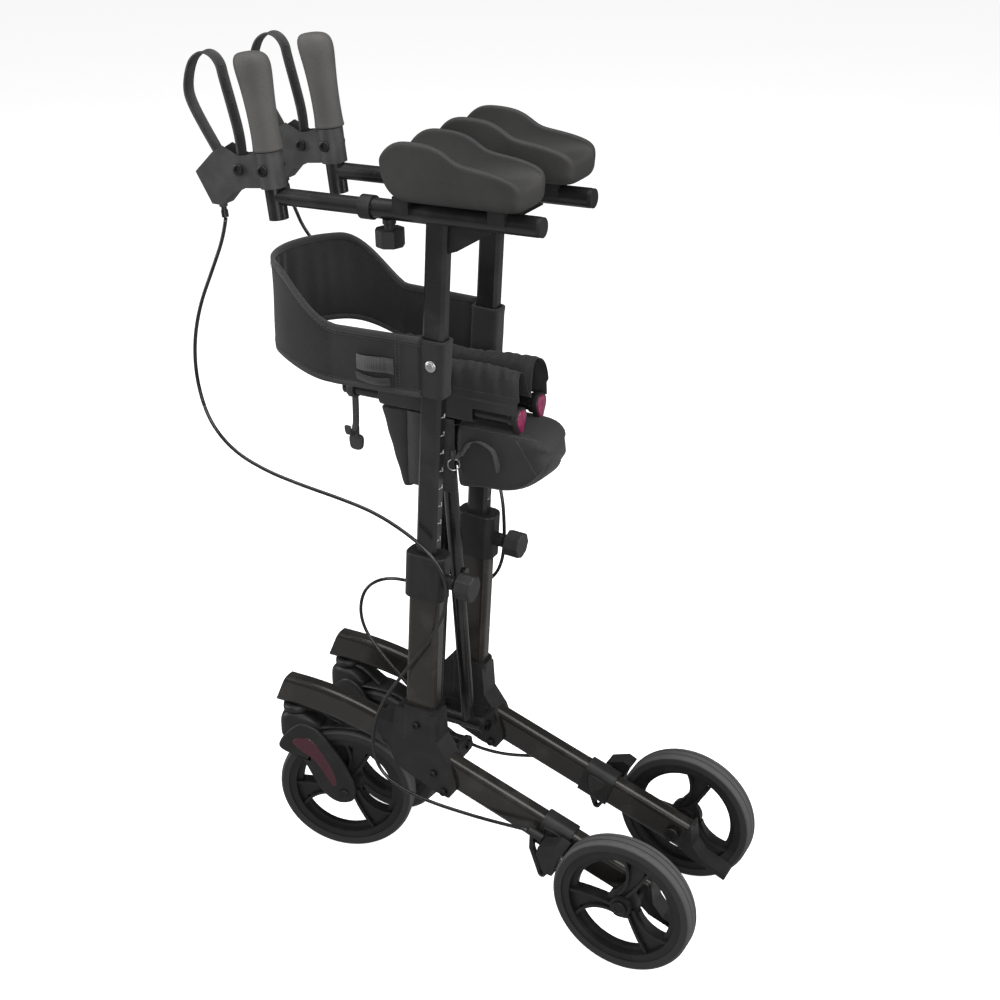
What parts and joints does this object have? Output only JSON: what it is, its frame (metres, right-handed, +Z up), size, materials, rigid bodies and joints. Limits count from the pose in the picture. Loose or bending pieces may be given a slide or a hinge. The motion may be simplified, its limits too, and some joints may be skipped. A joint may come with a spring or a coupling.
{
  "type": "folding upright walker",
  "caption": "Side-folding upright walker with forearm troughs, upright grips with loop brakes, backrest belt and fabric seat.",
  "frame": {"origin": "on the floor under the middle of the box", "axes": "+X forward, +Y to the walker's left, +Z up"},
  "size_m": [0.7536, 0.262, 1.164],
  "materials": {
    "frame_paint": "gloss black paint",
    "post_paint": "satin black paint",
    "brace_paint": "gloss black paint",
    "moulded_plastic": "matt black nylon",
    "knob_plastic": "matt dark grey",
    "hardware_steel": "zinc plated",
    "pad_foam": "grained moulded foam",
    "grip_rubber": "soft matt rubber",
    "cable_sheath": "gloss black sheath",
    "rim_plastic": "satin black",
    "tyre_rubber": "worn grey tread",
    "seat_fabric": "black woven nylon",
    "belt_fabric": "black padded weave"
  },
  "bodies": {
    "left_upper": {"left_inner_post": "post_paint", "left_arm_tube": "post_paint", "left_arm_fittings": "moulded_plastic", "left_arm_pad": "pad_foam", "left_brake_cable": "cable_sheath", "backrest_belt": "belt_fabric"},
    "left_lower": {"left_rail": "frame_paint", "left_outer_post": "frame_paint", "left_frame_joint": "moulded_plastic", "left_frame_hardware": "hardware_steel", "left_height_collar": "moulded_plastic", "left_brake_clamp": "moulded_plastic", "left_tip_pedal": "moulded_plastic"},
    "left_handle": {"left_handle_tube": "post_paint", "left_grip": "grip_rubber", "left_brake_housing": "moulded_plastic", "left_housing_bolts": "hardware_steel"},
    "left_lever": {"left_brake_lever": "moulded_plastic"},
    "left_shoe": {"left_brake_shoe": "grip_rubber"},
    "left_caster": {"left_caster_fork": "moulded_plastic", "left_front_axle": "hardware_steel"},
    "left_front_wheel": {"left_front_rim": "rim_plastic", "left_front_tyre": "tyre_rubber"},
    "left_rear_wheel": {"left_rear_rim": "rim_plastic", "left_rear_tyre": "tyre_rubber"},
    "left_height_knob": {"left_height_knob": "knob_plastic"},
    "left_arm_knob": {"left_arm_knob": "knob_plastic"},
    "right_upper": {"right_inner_post": "post_paint", "right_arm_tube": "post_paint", "right_arm_fittings": "moulded_plastic", "right_arm_pad": "pad_foam", "right_brake_cable": "cable_sheath"},
    "right_lower": {"right_rail": "frame_paint", "right_outer_post": "frame_paint", "right_frame_joint": "moulded_plastic", "right_frame_hardware": "hardware_steel", "right_height_collar": "moulded_plastic", "right_brake_clamp": "moulded_plastic", "right_tip_pedal": "moulded_plastic"},
    "right_handle": {"right_handle_tube": "post_paint", "right_grip": "grip_rubber", "right_brake_housing": "moulded_plastic", "right_housing_bolts": "hardware_steel"},
    "right_lever": {"right_brake_lever": "moulded_plastic"},
    "right_shoe": {"right_brake_shoe": "grip_rubber"},
    "right_caster": {"right_caster_fork": "moulded_plastic", "right_front_axle": "hardware_steel"},
    "right_front_wheel": {"right_front_rim": "rim_plastic", "right_front_tyre": "tyre_rubber"},
    "right_rear_wheel": {"right_rear_rim": "rim_plastic", "right_rear_tyre": "tyre_rubber"},
    "right_height_knob": {"right_height_knob": "knob_plastic"},
    "right_arm_knob": {"right_arm_knob": "knob_plastic"},
    "bar_a": {"cross_bar_a": "brace_paint", "seat_rail_a": "brace_paint", "seat_sling": "seat_fabric"},
    "bar_b": {"cross_bar_b": "brace_paint", "seat_rail_b": "brace_paint", "under_seat_bag": "seat_fabric"},
    "hook": {"fold_hook": "moulded_plastic"}
  },
  "joints": [
    {"name": "fold", "type": "slide", "parent": "left_upper", "child": "right_upper", "axis": [0, -1, 0], "range_m": [0, 0.33], "deforming": ["backrest_belt", "seat_sling", "under_seat_bag"]},
    {"name": "bar_a_swing", "type": "hinge", "parent": "left_lower", "child": "bar_a", "pos_m": [0.04673, 0.0285, 0.215], "axis": [1, 0, 0], "range_deg": [0, 40.7], "deforming": ["seat_sling", "under_seat_bag"]},
    {"name": "bar_b_swing", "type": "hinge", "parent": "bar_a", "child": "bar_b", "pos_m": [0.04673, 0, 0.4725], "axis": [-1, 0, 0], "range_deg": [0, 81.3], "deforming": ["seat_sling", "under_seat_bag"]},
    {"name": "hook_swing", "type": "hinge", "parent": "bar_b", "child": "hook", "pos_m": [0.17073, 0.0285, 0.73], "axis": [1, 0, 0], "range_deg": [-60, 60]},
    {"name": "left_height", "type": "slide", "parent": "left_upper", "child": "left_lower", "axis": [0.0534, 0, -0.9986], "range_m": [-0.1, 0.075], "deforming": ["left_brake_cable"]},
    {"name": "left_handle_slide", "type": "slide", "parent": "left_upper", "child": "left_handle", "axis": [0.9997, 0, -0.0237], "range_m": [-0.07, 0.06], "deforming": ["left_brake_cable"]},
    {"name": "left_brake_lever", "type": "hinge", "parent": "left_handle", "child": "left_lever", "pos_m": [0.29536, 0.0713, 1.01927], "axis": [0, -1, 0], "range_deg": [0, 9.5], "stiffness_Nm_per_rad": 2},
    {"name": "left_brake_shoe", "type": "hinge", "parent": "left_lower", "child": "left_shoe", "pos_m": [-0.15827, 0.0713, 0.14863], "axis": [0, 1, 0], "range_deg": [0, 3]},
    {"name": "left_caster_swivel", "type": "hinge", "parent": "left_lower", "child": "left_caster", "pos_m": [0.26433, 0.0713, 0.2055], "axis": [0, 0, -1], "range_deg": [-2.5, 214]},
    {"name": "left_rear_wheel_spin", "type": "hinge", "parent": "left_lower", "child": "left_rear_wheel", "pos_m": [-0.27627, 0.113, 0.1], "axis": [0, 1, 0], "continuous": true},
    {"name": "left_height_knob_turn", "type": "hinge", "parent": "left_lower", "child": "left_height_knob", "pos_m": [-0.0095, 0.0713, 0.49414], "axis": [-0.9986, 0, -0.0534], "range_deg": [0, 360]},
    {"name": "left_arm_knob_turn", "type": "hinge", "parent": "left_upper", "child": "left_arm_knob", "pos_m": [0.08423, 0.0713, 0.96742], "axis": [-0.0237, 0, -0.9997], "range_deg": [0, 360]},
    {"name": "left_front_wheel_spin", "type": "hinge", "parent": "left_caster", "child": "left_front_wheel", "pos_m": [0.19548, 0.05025, 0.1], "axis": [-0.2924, 0.9563, 0], "continuous": true},
    {"name": "right_height", "type": "slide", "parent": "right_upper", "child": "right_lower", "axis": [0.0534, 0, -0.9986], "range_m": [-0.1, 0.075], "deforming": ["right_brake_cable"]},
    {"name": "right_handle_slide", "type": "slide", "parent": "right_upper", "child": "right_handle", "axis": [0.9997, 0, -0.0237], "range_m": [-0.07, 0.06], "deforming": ["right_brake_cable"]},
    {"name": "right_brake_lever", "type": "hinge", "parent": "right_handle", "child": "right_lever", "pos_m": [0.29536, -0.0713, 1.01927], "axis": [0, -1, 0], "range_deg": [0, 9.5], "stiffness_Nm_per_rad": 2},
    {"name": "right_brake_shoe", "type": "hinge", "parent": "right_lower", "child": "right_shoe", "pos_m": [-0.15827, -0.0713, 0.14863], "axis": [0, 1, 0], "range_deg": [0, 3]},
    {"name": "right_caster_swivel", "type": "hinge", "parent": "right_lower", "child": "right_caster", "pos_m": [0.26433, -0.0713, 0.2055], "axis": [0, 0, 1], "range_deg": [-13.5, 203]},
    {"name": "right_rear_wheel_spin", "type": "hinge", "parent": "right_lower", "child": "right_rear_wheel", "pos_m": [-0.27627, -0.113, 0.1], "axis": [0, 1, 0], "continuous": true},
    {"name": "right_height_knob_turn", "type": "hinge", "parent": "right_lower", "child": "right_height_knob", "pos_m": [-0.0095, -0.0713, 0.49414], "axis": [-0.9986, 0, -0.0534], "range_deg": [0, 360]},
    {"name": "right_arm_knob_turn", "type": "hinge", "parent": "right_upper", "child": "right_arm_knob", "pos_m": [0.08423, -0.0713, 0.96742], "axis": [-0.0237, 0, -0.9997], "range_deg": [0, 360]},
    {"name": "right_front_wheel_spin", "type": "hinge", "parent": "right_caster", "child": "right_front_wheel", "pos_m": [0.19272, -0.06377, 0.1], "axis": [0.1045, 0.9945, 0], "continuous": true}
  ],
  "couplings": [
    {"joint": "bar_a_swing", "follows": "fold", "rad_per_m": 2.14},
    {"joint": "bar_b_swing", "follows": "fold", "rad_per_m": 4.28},
    {"joint": "left_brake_shoe", "follows": "left_brake_lever", "ratio": 0.31},
    {"joint": "right_brake_shoe", "follows": "right_brake_lever", "ratio": 0.31},
    {"joint": "right_height", "follows": "left_height", "ratio": 1}
  ]
}
